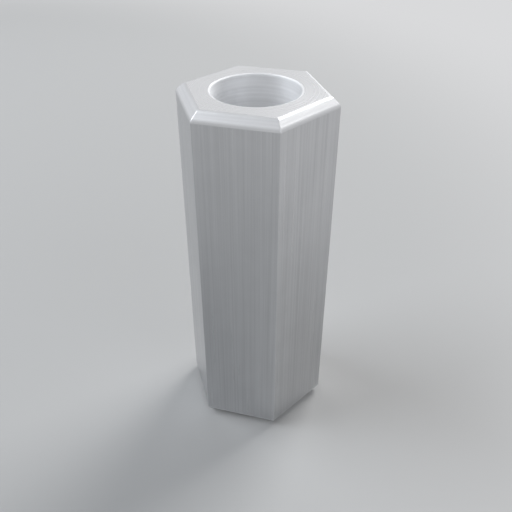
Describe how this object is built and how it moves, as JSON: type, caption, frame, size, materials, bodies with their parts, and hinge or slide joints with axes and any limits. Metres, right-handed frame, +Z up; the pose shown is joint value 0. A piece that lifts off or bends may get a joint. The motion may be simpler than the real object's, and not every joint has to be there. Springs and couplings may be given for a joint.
{
  "type": "hex standoff",
  "caption": "Hexagonal bar standoff with a smooth screw-clearance bore right through it and chamfered ends, used to hold two boards or panels a set distance apart.",
  "frame": {"origin": "centre of the lower end face, on the axis of the bore", "axes": "+Z up the bore from the lower end to the upper end, X through two opposite corners of the hexagon, Y square to two opposite flats"},
  "size_m": [0.0064, 0.0054, 0.015],
  "materials": {
    "satin_aluminium": "satin, clean and unworn, with a faint grain along the flats and faint turning marks on the ends"
  },
  "bodies": {
    "root": {"hex_standoff": "satin_aluminium"}
  },
  "joints": []
}
